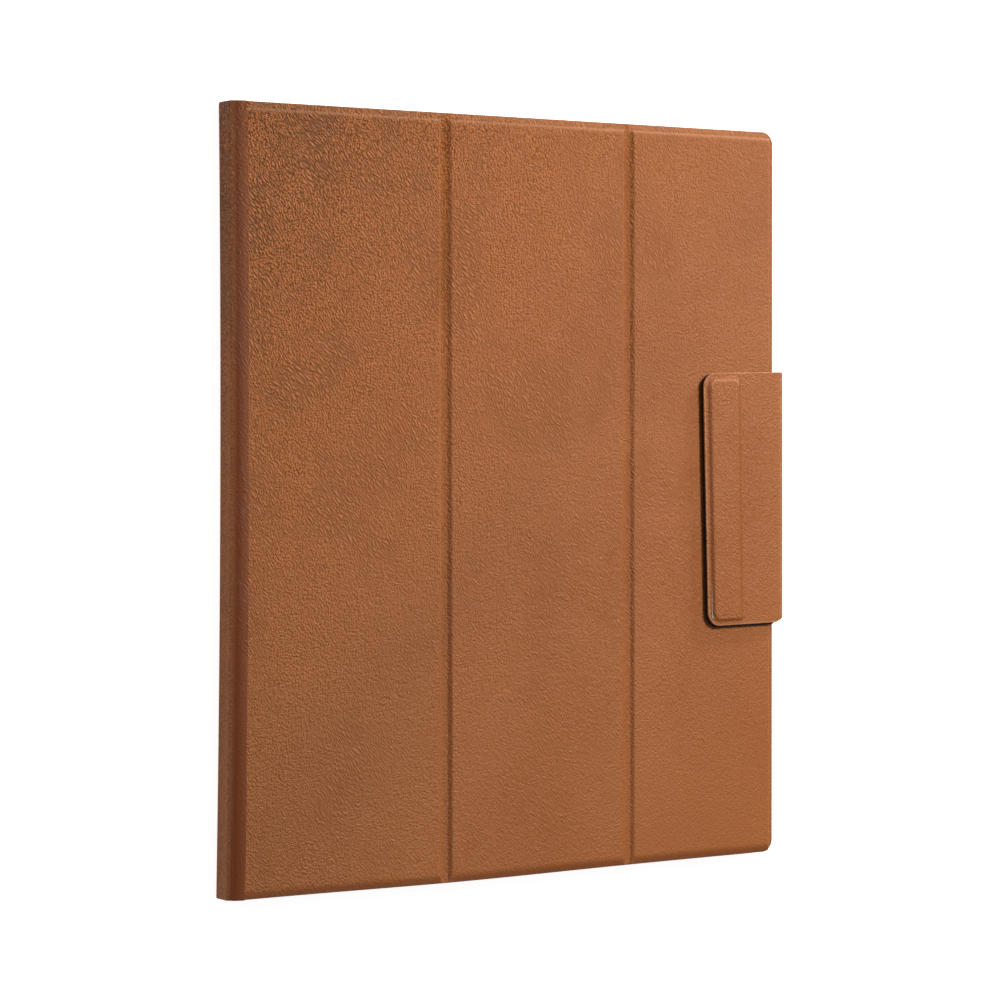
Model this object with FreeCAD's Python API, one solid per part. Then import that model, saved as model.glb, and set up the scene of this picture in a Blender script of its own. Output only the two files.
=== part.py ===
"""A ten-inch e-reader in its tri-fold magnetic folio, closed and lying on its back.

+X runs from the spine to the closing flap, +Y to the head of the reader and +Z out of the
front cover. The origin is the middle of the footprint, on the surface that the back cover
lies on. All lengths are in millimetres.
"""
import FreeCAD, Part
import os
from math import pi

from FreeCAD import Vector

# ------------------------------------------------------------------ driving dimensions
# Reader, seen from the front
device_width = 191.0
device_height = 226.0
device_corner = 8.0             # corner radius of its outline
housing_wall = 1.2
housing_floor = 0.8
grip_bezel = 26.0               # wide bezel on the spine side, where the thumb rests
bezel = 8.2                     # bezel on the other three sides

# Layers of the reader, from the front inwards
glass_thickness = 0.6
guide_thickness = 0.4
paper_thickness = 0.7
digitizer_thickness = 0.4
mid_frame_thickness = 0.6
fit = 0.1                       # clearance round each layer
headroom = 0.1                  # tallest inner part to the mid frame

# Folio
leather = 0.8
lining = 0.4
turn_in = 1.5                   # leather turned in round the edge of the lining
back_board = 1.4
front_board = 1.1
spine_board = 1.4
bevel = 1.3                     # run of the slope round each raised board
fold_floor = 1.8                # flat leather at the bottom of each fold channel
panel_1_width = 68.0            # foot to foot of the slopes
panel_2_width = 65.5
end_flange = 1.7                # unboarded border at head and tail
edge_flange = 1.2               # unboarded border at the free edge
cover_corner = 4.0
end_overhang = 2.0              # cover past the reader at head and tail
edge_overhang = 2.0             # cover past the reader at the free edge
spine_clearance = 0.5           # reader to the spine's lining
hinge_gap = 0.4                 # covers to the spine's lining plane
front_clearance = 0.3           # reader's glass to the front cover's lining
spine_front_radius = 2.0        # outer radius of the front corner fold
fold_axis_rise = 0.5            # fold axes above the channel floor

# Closing flap
flap_height = 79.8
flap_drop = 1.65                # flap's centre below the cover's centre
flap_thickness = leather + lining
flap_gap = 2.9                  # gusset to the cover's free edge
flap_bend_radius = 6.0          # where the gusset turns into the tongue
flap_hinge_rise = 1.6           # gusset's hinge axis above the table
tongue_reach = 33.1             # from the gusset's outer face to the tongue's tip
tongue_gap = 0.5                # tongue's lining to the front cover
tongue_core = 0.7               # stiffener between the tongue's lining and leather
tongue_corner = 4.6
pad_rise = 1.0
pad_bevel = 1.3
pad_width = 12.9                # foot to foot of the slopes round the magnet pad
pad_border = 1.1

# Closure and wake magnets
disc_radius = 5.0
disc_thickness = 1.0
disc_column_inset = 12.0        # from the reader's long edges
disc_end_inset = 36.0           # from the reader's short edges
discs_per_column = 4
closure_bar_width = 7.6
closure_bar_length = 19.0
closure_bar_count = 3
closure_bar_pitch = 24.0
closure_bar_thickness = 0.8
steel_width = 9.0
steel_thickness = 0.6
wake_magnet_size = (4.0, 10.0, 0.8)

# Electronics
board_left = 30.0               # main board's left edge from the reader's left edge
board_width = 50.0
board_thickness = 0.6
board_standoff = 0.4
board_foot_height = 22.0        # strip of the board along the bottom edge
board_foot_past_centre = 8.0
edge_clearance = 0.8            # boards and battery to the housing's walls
top_zone = 12.0                 # housing's head wall to board and battery
battery_right = 24.0            # battery's right edge from the reader's right edge
battery_thickness = 2.1
part_gap = 2.0                  # between neighbouring large parts
shield_size = (36.0, 44.0, 1.1)
shield_wall = 0.2
chip_size = 9.0
chip_height = 0.7
boss_radius = 2.2
boss_inset = 5.0                # boss centres from the inner walls
screw_radius = 0.7
screw_play = 0.05
screw_head_radius = 1.5
screw_head_height = 0.5
upper_boss_offset = 45.0        # bosses on the short sides, from the centre line
usb_width, usb_height, usb_depth = 8.94, 3.16, 7.3
usb_wall = 0.3
usb_lift = 0.3                  # socket above the housing's floor
port_clearance = 0.2
usb_tongue = (6.7, 4.5, 0.7)
card_offset = 24.0              # card tray right of the centre line
card_tray = (12.0, 15.0, 1.0)
card_head = (14.0, 1.8)
card_floor = 0.3                # tray head above the housing's floor
card_socket_wall = 0.2
speaker_size = (16.0, 9.0, 2.0)
speaker_inset = 10.0
sound_hole_radius = 0.5
sound_hole_pitch = 2.2
sound_hole_count = 6
button_offset = 30.0            # power button from the reader's left edge
button_size = (12.0, 1.6)
button_proud = 0.4
button_lip_thickness = 0.6
button_lip_side = 0.8
button_lip_rise = 0.3
button_travel = 0.3
switch_play = 0.05
switch_size = (5.0, 2.0, 1.8)
mic_offset = 60.0
mic_size = (3.8, 3.0, 1.1)
antenna_size = (50.0, 0.8, 2.0)
antenna_right = 16.0
hall_size = (2.8, 1.6, 0.9)
hall_from_left = 62.0
hall_drop = 70.0                # below the reader's centre
led_size = (2.0, 1.0, 0.4)
led_count = 12
flex_height = 40.0
flex_thickness = 0.15
flex_loop = 3.0                 # how far the ribbon swings out past the paper
flex_landing = 4.0              # ribbon on top of the main board

# ------------------------------------------------------------------ levels and edges
cavity_depth = headroom + max(battery_thickness, board_standoff + board_thickness + shield_size[2],
                              speaker_size[2], antenna_size[2], card_floor + card_head[1],
                              button_size[1] + 2 * button_lip_rise)
display_thickness = glass_thickness + guide_thickness + paper_thickness + digitizer_thickness
device_thickness = housing_floor + cavity_depth + mid_frame_thickness + display_thickness
back_thickness = leather + back_board + lining
device_z = (back_thickness, back_thickness + device_thickness)
front_lining_z = device_z[1] + front_clearance
front_board_z = front_lining_z + lining
flange_z = front_board_z + leather
front_z = front_board_z + front_board + leather
tongue_z = front_z + tongue_gap
tongue_top_z = tongue_z + flap_thickness + tongue_core
pad_top_z = tongue_top_z + pad_rise

spine_thickness = leather + spine_board + lining
cover_width = spine_clearance + device_width + edge_overhang
cover_height = device_height + 2 * end_overhang
overall_width = spine_thickness + cover_width + flap_gap + flap_thickness

spine_x = -overall_width / 2
spine_inner_x = spine_x + spine_thickness
cover_x = (spine_inner_x + hinge_gap, spine_inner_x + cover_width)
cover_y = (-cover_height / 2, cover_height / 2)
device_x = (spine_inner_x + spine_clearance, spine_inner_x + spine_clearance + device_width)
device_y = (-device_height / 2, device_height / 2)
device_mid_x = sum(device_x) / 2
gusset_x = (overall_width / 2 - flap_thickness, overall_width / 2)

panel_1_x = (cover_x[0], cover_x[0] + panel_1_width)
panel_2_x = (panel_1_x[1] + fold_floor, panel_1_x[1] + fold_floor + panel_2_width)
panel_3_x = (panel_2_x[1] + fold_floor, cover_x[1] - edge_flange)

flap_y = (-flap_drop - flap_height / 2, -flap_drop + flap_height / 2)
tongue_x = (gusset_x[1] - tongue_reach, gusset_x[1] - flap_bend_radius)
pad_x = (tongue_x[0] + pad_border, tongue_x[0] + pad_border + pad_width)
gusset_z = (flap_hinge_rise + flap_thickness, tongue_top_z - flap_bend_radius)

floor_z = device_z[0] + housing_floor
glass_z = device_z[1] - glass_thickness
guide_z = glass_z - guide_thickness
paper_z = guide_z - paper_thickness
digitizer_z = paper_z - digitizer_thickness
mid_frame_z = digitizer_z - mid_frame_thickness
inner_x = (device_x[0] + housing_wall, device_x[1] - housing_wall)
inner_y = (device_y[0] + housing_wall, device_y[1] - housing_wall)
inner_corner = device_corner - housing_wall
screen_x = (device_x[0] + grip_bezel, device_x[1] - bezel)
screen_y = (device_y[0] + bezel, device_y[1] - bezel)
board_x = (device_x[0] + board_left, device_x[0] + board_left + board_width)
board_y = (inner_y[0] + edge_clearance, inner_y[1] - top_zone)
board_z = (floor_z + board_standoff, floor_z + board_standoff + board_thickness)
foot_top_y = board_y[0] + board_foot_height

everything = []


# ------------------------------------------------------------------ shape helpers
def save(name, shape):
    """Keep one sub-part under the name a person would use for it."""
    everything.append((name, shape.removeSplitter()))


def grown(span, amount):
    """A (low, high) span made longer by the same amount at both ends."""
    return (span[0] - amount, span[1] + amount)


def around(centre, length):
    """A span of the given length about a centre."""
    return (centre - length / 2, centre + length / 2)


def block(x, y, z):
    """A box from its three spans."""
    return Part.makeBox(x[1] - x[0], y[1] - y[0], z[1] - z[0], Vector(x[0], y[0], z[0]))


def outline(x, y, z, radii):
    """A closed rectangle at height z; radii go round from the low-x, low-y corner."""
    corners = [(x[0], y[0]), (x[1], y[0]), (x[1], y[1]), (x[0], y[1])]
    along = [(1, 0), (0, 1), (-1, 0), (0, -1)]
    ends = []
    for index, (corner_x, corner_y) in enumerate(corners):
        radius = radii[index]
        before, after = along[index - 1], along[index]
        start = Vector(corner_x - before[0] * radius, corner_y - before[1] * radius, z)
        end = Vector(corner_x + after[0] * radius, corner_y + after[1] * radius, z)
        pull = radius * (1 - 0.5 ** 0.5)
        middle = Vector(corner_x + (after[0] - before[0]) * pull,
                        corner_y + (after[1] - before[1]) * pull, z)
        ends.append((start, middle, end, radius))
    edges = []
    for index, (start, middle, end, radius) in enumerate(ends):
        if radius > 0:
            edges.append(Part.Arc(start, middle, end).toShape())
        edges.append(Part.LineSegment(end, ends[(index + 1) % 4][0]).toShape())
    return Part.Wire(edges)


def slab(x, y, z, radii=(0, 0, 0, 0)):
    """A flat plate with its own radius at each corner."""
    face = Part.Face(outline(x, y, z[0], radii))
    return face.extrude(Vector(0, 0, z[1] - z[0]))


def mound(x, y, z, run, radii=(0, 0, 0, 0)):
    """A plate whose sides slope in by the run from its foot to its top."""
    top_radii = [max(radius - run / 2, radius / 2) for radius in radii]
    wires = [outline(x, y, z[0], radii), outline(grown(x, -run), grown(y, -run), z[1], top_radii)]
    return Part.makeLoft(wires, True, True)


def rod(radius, start, direction, length):
    """A cylinder from its start point."""
    return Part.makeCylinder(radius, length, Vector(*start), Vector(*direction))


def bend(centre, radius, thickness, quadrant, y):
    """A quarter of a leather tube along Y; the quadrant is the (x, z) side it lies on."""
    length = y[1] - y[0]
    start = (centre[0], y[0], centre[1])
    tube = rod(radius, start, (0, 1, 0), length).cut(rod(radius - thickness, start, (0, 1, 0), length))
    x = sorted((centre[0], centre[0] + quadrant[0] * radius))
    z = sorted((centre[1], centre[1] + quadrant[1] * radius))
    return tube.common(block(x, y, z))


def joined(shapes):
    """Solids fused into one."""
    return shapes[0].fuse(shapes[1:]) if len(shapes) > 1 else shapes[0]


def cut_all(shape, tools):
    """A shape with every tool cut away."""
    return shape.cut(tools)


# ------------------------------------------------------------------ magnets
def disc_centres():
    """Both columns of discs that hold the reader to the back cover."""
    low = device_y[0] + disc_end_inset
    step = (device_height - 2 * disc_end_inset) / (discs_per_column - 1)
    columns = (device_x[0] + disc_column_inset, device_x[1] - disc_column_inset)
    return [(x, low + index * step) for x in columns for index in range(discs_per_column)]


def closure_bars(z, play=0.0):
    """The bars under the flap's pad, or the pockets for them."""
    middle_x = sum(pad_x) / 2
    middle_y = sum(flap_y) / 2
    bars = []
    for index in range(closure_bar_count):
        y = middle_y + (index - (closure_bar_count - 1) / 2) * closure_bar_pitch
        bars.append(block(grown(around(middle_x, closure_bar_width), play),
                          grown(around(y, closure_bar_length), play), z))
    return bars


# ------------------------------------------------------------------ folio: back cover
def back_cover():
    radii = (0, cover_corner, cover_corner, 0)
    board_radii = (0, cover_corner - turn_in, cover_corner - turn_in, 0)
    inside_x = (cover_x[0], cover_x[1] - turn_in)
    inside_y = grown(cover_y, -turn_in)
    board = slab(inside_x, inside_y, (leather, leather + back_board), board_radii)
    inner = slab(inside_x, inside_y, (leather + back_board, back_thickness), board_radii)
    skin = slab(cover_x, cover_y, (0, back_thickness), radii)
    pockets = [rod(disc_radius + fit, (x, y, leather), (0, 0, 1), back_board) for x, y in disc_centres()]
    discs = [rod(disc_radius, (x, y, leather), (0, 0, 1), disc_thickness) for x, y in disc_centres()]
    save("back_leather", skin.cut([board, inner]))
    save("back_board", cut_all(board, pockets))
    save("back_lining", inner)
    save("back_magnets", Part.makeCompound(discs))


# ------------------------------------------------------------------ folio: spine
spine_back_radius = cover_x[0] - spine_x    # the back corner fold fills the whole corner
spine_z = (spine_back_radius, flange_z - spine_front_radius)


def spine():
    x = (spine_x, spine_inner_x)
    board_x_span = (spine_x + leather, spine_x + leather + spine_board)
    lining_x_span = (board_x_span[1], spine_inner_x)
    board = block(board_x_span, grown(cover_y, -turn_in), spine_z)
    inner = block(lining_x_span, grown(cover_y, -turn_in), spine_z)
    save("spine_leather", block(x, cover_y, spine_z).cut([board, inner]))
    save("spine_board", board)
    save("spine_lining", inner)

    back_bend = bend((spine_x + spine_back_radius, spine_back_radius), spine_back_radius, leather,
                     (-1, -1), cover_y)
    front_centre = (spine_x + spine_front_radius, flange_z - spine_front_radius)
    front_bend = bend(front_centre, spine_front_radius, leather, (-1, 1), cover_y)
    front_flat = block((front_centre[0], cover_x[0]), cover_y, (front_board_z, flange_z))
    save("spine_front_fold", joined([front_bend, front_flat]))
    save("spine_back_fold", back_bend)


# ------------------------------------------------------------------ folio: front cover
def panel(number, feet, edges, radii, pockets=()):
    """One boarded panel: feet are its slopes' feet in x, edges its leather's ends."""
    slope_y = grown(cover_y, -end_flange)
    slope_radii = [radius / 2 for radius in radii]
    board_x_span = grown(feet, -leather / 2)
    board_y_span = grown(slope_y, -leather / 2)
    rise = front_board / (front_board + leather)
    board = mound(board_x_span, board_y_span, (front_board_z, front_board_z + front_board),
                  bevel * rise + leather / 2, slope_radii)
    inner_x_span = (edges[0], edges[1] - (turn_in if edges[1] > feet[1] else 0))
    inner_radii = [max(radius - turn_in, 0) for radius in radii]
    inner = slab(inner_x_span, grown(cover_y, -turn_in), (front_lining_z, front_board_z), inner_radii)
    flange = slab(edges, cover_y, (front_lining_z, flange_z), radii)
    raised = mound(feet, slope_y, (flange_z, front_z), bevel, slope_radii)
    save("panel_%d_leather" % number, joined([flange, raised]).cut([inner, board]))
    save("panel_%d_board" % number, cut_all(board, list(pockets)) if pockets else board)
    save("panel_%d_lining" % number, inner)


def front_cover():
    square = (0, 0, 0, 0)
    free_edge = (0, cover_corner, cover_corner, 0)
    board_top = front_board_z + front_board

    wake_x = around(device_x[0] + hall_from_left, wake_magnet_size[0])
    wake_y = around(-hall_drop, wake_magnet_size[1])
    wake_z = (front_board_z, front_board_z + wake_magnet_size[2])
    wake_pocket = block(grown(wake_x, fit), grown(wake_y, fit), wake_z)
    save("wake_magnet", block(wake_x, wake_y, wake_z))

    steel_x = around(sum(pad_x) / 2, steel_width)
    steel_y = grown(flap_y, -pad_bevel * 2)
    steel_z = (board_top - steel_thickness, board_top)
    steel_pocket = block(grown(steel_x, fit), grown(steel_y, fit), steel_z)
    save("closure_steel", block(steel_x, steel_y, steel_z))

    panel(1, panel_1_x, panel_1_x, square, [wake_pocket])
    panel(2, panel_2_x, panel_2_x, square)
    panel(3, panel_3_x, (panel_3_x[0], cover_x[1]), free_edge, [steel_pocket])
    for number, (left, right) in enumerate(((panel_1_x, panel_2_x), (panel_2_x, panel_3_x)), 1):
        save("fold_strip_%d" % number, block((left[1], right[0]), cover_y, (front_lining_z, flange_z)))


# ------------------------------------------------------------------ folio: closing flap
def flap():
    gusset_lining_x = (gusset_x[0], gusset_x[0] + lining)
    gusset_leather_x = (gusset_lining_x[1], gusset_x[1])
    save("gusset_leather", block(gusset_leather_x, flap_y, gusset_z))
    save("gusset_lining", block(gusset_lining_x, grown(flap_y, -turn_in), gusset_z))

    hinge_flat = block((cover_x[1], gusset_x[1] - flap_hinge_rise), flap_y, (0, leather))
    hinge_centre = (gusset_x[1] - flap_hinge_rise, flap_hinge_rise)
    hinge_bend = bend(hinge_centre, flap_hinge_rise, leather, (1, -1), flap_y)
    hinge_rise = block((gusset_x[1] - leather, gusset_x[1]), flap_y, (flap_hinge_rise, gusset_z[0]))
    save("flap_hinge_strip", joined([hinge_flat, hinge_bend, hinge_rise]))
    top_centre = (gusset_x[1] - flap_bend_radius, tongue_top_z - flap_bend_radius)
    save("flap_bend_strip", bend(top_centre, flap_bend_radius, flap_thickness, (1, 1), flap_y))

    radii = (tongue_corner, 0, 0, tongue_corner)
    lining_radii = (tongue_corner - turn_in, 0, 0, tongue_corner - turn_in)
    lining_x = (tongue_x[0] + turn_in, tongue_x[1])
    inner = slab(lining_x, grown(flap_y, -turn_in), (tongue_z, tongue_z + lining), lining_radii)
    core_z = (tongue_z + lining, tongue_z + lining + tongue_core)
    pad_y = grown(flap_y, -pad_border)
    flange = slab(tongue_x, flap_y, (tongue_z, tongue_top_z), radii)
    pad = mound(pad_x, pad_y, (tongue_top_z, pad_top_z), pad_bevel,
                (tongue_corner - pad_border, tongue_corner / 4, tongue_corner / 4,
                 tongue_corner - pad_border))
    core = slab(lining_x, grown(flap_y, -turn_in), core_z, lining_radii)
    bed = block(grown(pad_x, -pad_bevel), grown(pad_y, -pad_bevel), (core_z[1], core_z[1] + pad_rise))
    board = joined([core, bed])
    bar_z = (core_z[1], core_z[1] + closure_bar_thickness)
    save("tongue_leather", joined([flange, pad]).cut([inner, board]))
    save("tongue_board", cut_all(board, closure_bars(bar_z, fit)))
    save("tongue_magnets", Part.makeCompound(closure_bars(bar_z)))
    save("tongue_lining", inner)


# ------------------------------------------------------------------ reader: openings
def boss_centres():
    """Bosses in the corners, half way up the long sides, and along the short sides."""
    x = (inner_x[0] + boss_inset, inner_x[1] - boss_inset)
    y = (inner_y[0] + boss_inset, inner_y[1] - boss_inset)
    corners = [(a, b) for a in x for b in y]
    sides = [(a, 0.0) for a in x]
    head = [(device_mid_x + side * upper_boss_offset, y[1]) for side in (-1, 1)]
    return corners + sides + head + [(device_mid_x + upper_boss_offset, y[0])]


def pill(x, y, z):
    """A bar along Y with half-round ends in its x-z section."""
    radius = (z[1] - z[0]) / 2
    middle_z = sum(z) / 2
    length = y[1] - y[0]
    ends = [rod(radius, (centre, y[0], middle_z), (0, 1, 0), length)
            for centre in (x[0] + radius, x[1] - radius)]
    return joined([block(grown(x, -radius), y, z)] + ends)


usb_x = around(device_mid_x, usb_width)
usb_z = (floor_z + usb_lift, floor_z + usb_lift + usb_height)
usb_y = (device_y[0] + usb_wall, device_y[0] + usb_wall + usb_depth)
card_mid_x = device_mid_x + card_offset
card_head_z = (floor_z + card_floor, floor_z + card_floor + card_head[1])
button_mid_x = device_x[0] + button_offset
button_z = (floor_z + button_lip_rise, floor_z + button_lip_rise + button_size[1])
mic_mid_x = device_x[0] + mic_offset
sound_z = floor_z + speaker_size[2] / 2
speaker_spans = [(device_x[0] + speaker_inset, device_x[0] + speaker_inset + speaker_size[0]),
                 (device_x[1] - speaker_inset - speaker_size[0], device_x[1] - speaker_inset)]
tail_wall = (device_y[0], inner_y[0])
head_wall = (inner_y[1], device_y[1])
flex_x = (screen_x[0] - flex_loop, board_x[0] + flex_landing)


def wall_openings():
    """Everything that goes through the housing's walls."""
    openings = [pill(grown(usb_x, port_clearance), tail_wall, grown(usb_z, port_clearance)),
                pill(grown(around(card_mid_x, card_head[0]), fit), tail_wall, grown(card_head_z, fit)),
                pill(grown(around(button_mid_x, button_size[0]), fit), head_wall, grown(button_z, fit)),
                rod(sound_hole_radius, (mic_mid_x, inner_y[1], sound_z), (0, 1, 0), housing_wall)]
    for span in speaker_spans:
        for index in range(sound_hole_count):
            x = sum(span) / 2 + (index - (sound_hole_count - 1) / 2) * sound_hole_pitch
            openings.append(rod(sound_hole_radius, (x, tail_wall[0], sound_z), (0, 1, 0), housing_wall))
    return openings


# ------------------------------------------------------------------ reader: housing and frames
def housing():
    shell = slab(device_x, device_y, device_z, [device_corner] * 4)
    hollow = slab(inner_x, inner_y, (floor_z, device_z[1]), [inner_corner] * 4)
    shell = cut_all(shell.cut(hollow), wall_openings())
    height = mid_frame_z - floor_z
    bosses = [rod(boss_radius, (x, y, floor_z), (0, 0, 1), height) for x, y in boss_centres()]
    holes = [rod(screw_radius + screw_play, (x, y, floor_z), (0, 0, 1), height)
             for x, y in boss_centres()]
    pads = [rod(boss_radius, (x, y, floor_z), (0, 0, 1), board_standoff)
            for x in grown(board_x, -boss_inset) for y in grown(board_y, -boss_inset)]
    save("rear_housing", cut_all(joined([shell] + bosses + pads), holes))


def frames():
    radii = [inner_corner - fit] * 4
    usb_notch = block(grown(usb_x, port_clearance), (inner_y[0], usb_y[1] + port_clearance),
                      grown(usb_z, port_clearance))
    flex_slot = block(grown((flex_x[0], flex_x[0] + flex_thickness), fit * 5),
                      grown(around(0, flex_height), fit * 5), (mid_frame_z, digitizer_z))
    screw_holes = [rod(screw_radius + screw_play, (x, y, mid_frame_z), (0, 0, 1), mid_frame_thickness)
                   for x, y in boss_centres()]
    plate = slab(grown(inner_x, -fit), grown(inner_y, -fit), (mid_frame_z, digitizer_z), radii)
    save("mid_frame", cut_all(plate, screw_holes + [usb_notch, flex_slot]))

    window = block(grown(screen_x, fit), grown(screen_y, fit), (digitizer_z, glass_z))
    flex_window = block((flex_x[0] - fit * 5, screen_x[0]), grown(around(0, flex_height), fit * 5),
                        (digitizer_z, glass_z))
    head_holes = [rod(screw_head_radius + fit, (x, y, digitizer_z), (0, 0, 1), glass_z - digitizer_z)
                  for x, y in boss_centres()]
    ring = slab(grown(inner_x, -fit), grown(inner_y, -fit), (digitizer_z, glass_z), radii)
    leds = led_blocks(fit)
    save("display_frame", cut_all(ring, [window, flex_window, usb_notch] + head_holes + leds))

    screws = []
    for x, y in boss_centres():
        shank = rod(screw_radius, (x, y, floor_z + board_standoff), (0, 0, 1),
                    digitizer_z - floor_z - board_standoff)
        head = rod(screw_head_radius, (x, y, digitizer_z), (0, 0, 1), screw_head_height)
        screws.append(joined([shank, head]))
    save("frame_screws", Part.makeCompound(screws))


# ------------------------------------------------------------------ reader: display
def led_blocks(play=0.0):
    """The row of lights along the tail edge of the light guide, or the pockets for them."""
    step = (screen_x[1] - screen_x[0]) / led_count
    blocks = []
    for index in range(led_count):
        x = around(screen_x[0] + (index + 0.5) * step, led_size[0])
        blocks.append(block(grown(x, play), (screen_y[0] - fit - led_size[1] - play, screen_y[0] - fit),
                            (glass_z - led_size[2] - play, glass_z)))
    return blocks


def display():
    glass_radii = [inner_corner - fit] * 4
    save("front_glass", slab(grown(inner_x, -fit), grown(inner_y, -fit), (glass_z, device_z[1]),
                             glass_radii))
    save("light_guide", block(screen_x, screen_y, (guide_z, glass_z)))
    save("paper_panel", block(screen_x, screen_y, (paper_z, guide_z)))
    save("pen_digitizer", block(screen_x, screen_y, (digitizer_z, paper_z)))
    save("front_light_leds", Part.makeCompound(led_blocks()))

    y = around(0, flex_height)
    paper_tail = (paper_z + flex_thickness, paper_z + 2 * flex_thickness)
    drop_x = (flex_x[0], flex_x[0] + flex_thickness)
    landing_z = (board_z[1], board_z[1] + flex_thickness)
    save("display_flex", joined([
        block((flex_x[0], screen_x[0]), y, paper_tail),
        block(drop_x, y, (landing_z[0], paper_tail[1])),
        block((flex_x[0], flex_x[1]), y, landing_z)]))


# ------------------------------------------------------------------ reader: electronics
def electronics():
    tall = block(board_x, board_y, board_z)
    foot = block((board_x[0], device_mid_x + board_foot_past_centre), (board_y[0], foot_top_y), board_z)
    usb_notch = block(grown(usb_x, port_clearance), (board_y[0], usb_y[1] + port_clearance), board_z)
    save("main_board", joined([tall, foot]).cut(usb_notch))

    battery_x = (board_x[1] + part_gap, device_x[1] - battery_right)
    battery_y = (foot_top_y + part_gap, board_y[1])
    save("battery", slab(battery_x, battery_y, (floor_z, floor_z + battery_thickness),
                         [part_gap] * 4))

    shield_x = around(sum(board_x) / 2, shield_size[0])
    shield_y = (board_y[1] - boss_inset - boss_radius - shield_size[1],
                board_y[1] - boss_inset - boss_radius)
    shield_z = (board_z[1], board_z[1] + shield_size[2])
    inside = block(grown(shield_x, -shield_wall), grown(shield_y, -shield_wall),
                   (shield_z[0], shield_z[1] - shield_wall))
    save("board_shield", block(shield_x, shield_y, shield_z).cut(inside))
    chips = []
    for column in (-1, 1):
        for row in (-1, 1):
            chip_x = around(sum(shield_x) / 2 + column * chip_size, chip_size)
            chip_y = around(sum(shield_y) / 2 + row * chip_size, chip_size)
            chips.append(block(grown(chip_x, -fit), grown(chip_y, -fit),
                               (board_z[1], board_z[1] + chip_height)))
    save("board_chips", Part.makeCompound(chips))

    hall_x = around(device_x[0] + hall_from_left, hall_size[0])
    save("hall_sensor", block(hall_x, around(-hall_drop, hall_size[1]),
                              (board_z[1], board_z[1] + hall_size[2])))
    mic_y = (inner_y[1] - mic_size[1] - fit, inner_y[1] - fit)
    save("microphone", block(around(mic_mid_x, mic_size[0]), mic_y, around(sound_z, mic_size[2])))
    antenna_x = (device_x[1] - antenna_right - antenna_size[0], device_x[1] - antenna_right)
    antenna_y = (inner_y[1] - antenna_size[1], inner_y[1])
    save("wireless_antenna", block(antenna_x, antenna_y, (floor_z, floor_z + antenna_size[2])))
    speakers = [block(span, (inner_y[0], inner_y[0] + speaker_size[1]),
                      (floor_z, floor_z + speaker_size[2])) for span in speaker_spans]
    save("speakers", Part.makeCompound(speakers))
    discs = [rod(disc_radius, (x, y, floor_z), (0, 0, 1), disc_thickness) for x, y in disc_centres()]
    save("device_magnets", Part.makeCompound(discs))


def usb_socket():
    mouth = pill(grown(usb_x, -usb_wall), (usb_y[0], usb_y[1] - usb_wall), grown(usb_z, -usb_wall))
    shell = pill(usb_x, usb_y, usb_z).cut(mouth)
    blade = block(around(device_mid_x, usb_tongue[0]),
                  (usb_y[1] - usb_wall - usb_tongue[1], usb_y[1] - usb_wall),
                  around(sum(usb_z) / 2, usb_tongue[2]))
    save("usb_socket", joined([shell, blade]))


# ------------------------------------------------------------------ reader: moving pieces
def card_slot():
    tray_z = around(sum(card_head_z) / 2, card_tray[2])
    tray_y = (inner_y[0], inner_y[0] + card_tray[1])
    head = pill(around(card_mid_x, card_head[0]), tail_wall, card_head_z)
    tray = block(around(card_mid_x, card_tray[0]), tray_y, tray_z)
    recess = block(around(card_mid_x, card_tray[0] - 2), (tray_y[0] + 2, tray_y[1] - 1),
                   (sum(tray_z) / 2, tray_z[1]))
    save("card_tray", joined([head, tray.cut(recess)]))

    cavity_x = grown(around(card_mid_x, card_tray[0]), fit * 2)
    cavity = block(cavity_x, (inner_y[0], tray_y[1] + fit * 2), grown(tray_z, fit))
    socket = block(grown(cavity_x, card_socket_wall),
                   (inner_y[0], tray_y[1] + fit * 2 + card_socket_wall),
                   (floor_z, tray_z[1] + fit + card_socket_wall))
    save("card_socket", socket.cut(cavity))


def power_button():
    cap = pill(around(button_mid_x, button_size[0]), (inner_y[1], device_y[1] + button_proud), button_z)
    lip_x = grown(around(button_mid_x, button_size[0]), button_lip_side)
    lip = block(lip_x, (inner_y[1] - button_lip_thickness, inner_y[1]), grown(button_z, button_lip_rise))
    save("power_button", joined([cap, lip]))
    plunger_y = inner_y[1] - button_lip_thickness - button_travel - switch_play
    save("button_switch", block(around(button_mid_x, switch_size[0]),
                                (plunger_y - switch_size[1], plunger_y),
                                around(sum(button_z) / 2, switch_size[2])))


# ------------------------------------------------------------------ make and write
def axes():
    """Joint axes as (x, z) points, for anyone who poses the model."""
    spine_mid_x = spine_x + spine_thickness / 2
    channel_mid_1 = (panel_1_x[1] + panel_2_x[0]) / 2
    channel_mid_2 = (panel_2_x[1] + panel_3_x[0]) / 2
    fold_z = flange_z + fold_axis_rise
    bend_reach = pi / 4 * (flap_bend_radius - flap_thickness / 2)
    return {"spine": (spine_mid_x, back_thickness / 2), "cover": (spine_mid_x, flange_z),
            "fold_1": (channel_mid_1, fold_z), "fold_2": (channel_mid_2, fold_z),
            "gusset": (gusset_x[1] - flap_thickness / 2, flap_hinge_rise),
            "tongue": (tongue_x[1] + bend_reach, gusset_z[1] + bend_reach)}


for build in (back_cover, spine, front_cover, flap, housing, frames, display, electronics,
              usb_socket, card_slot, power_button):
    build()

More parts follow.
